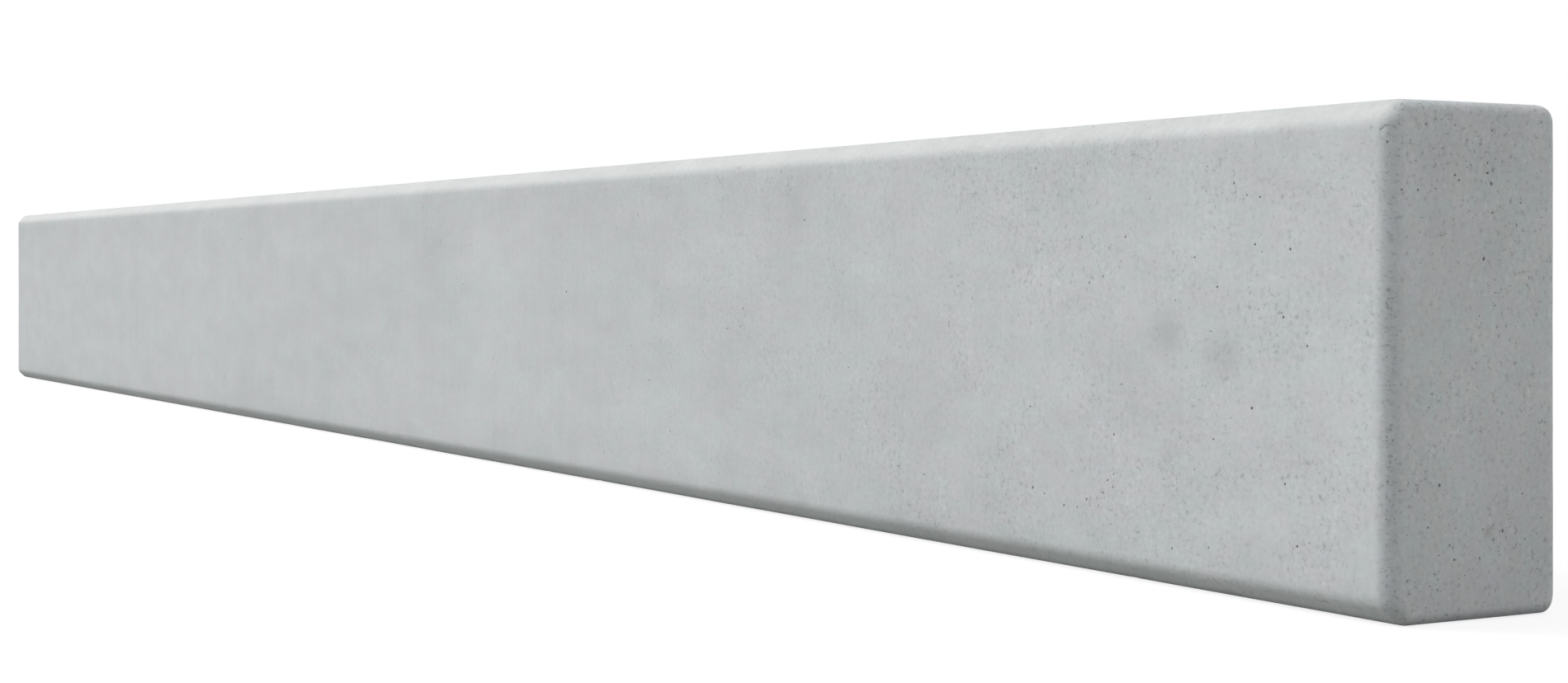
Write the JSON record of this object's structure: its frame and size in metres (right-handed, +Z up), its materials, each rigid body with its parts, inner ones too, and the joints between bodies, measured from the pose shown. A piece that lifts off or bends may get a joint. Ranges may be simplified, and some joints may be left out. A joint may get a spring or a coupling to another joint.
{
  "type": "concrete sleeper",
  "caption": "Plain precast concrete sleeper for stacked retaining walls: a straight solid bar of rectangular section with softened bevels along its face.",
  "frame": {"origin": "middle of the bottom edge, on the floor, halfway along the length and through the thickness", "axes": "+X along the length, +Y through the thickness from the face side to the back, +Z up"},
  "size_m": [2.4, 0.09, 0.2],
  "materials": {
    "concrete": "smooth cast face, matt, light grey"
  },
  "bodies": {
    "root": {"sleeper": "concrete"}
  },
  "joints": []
}
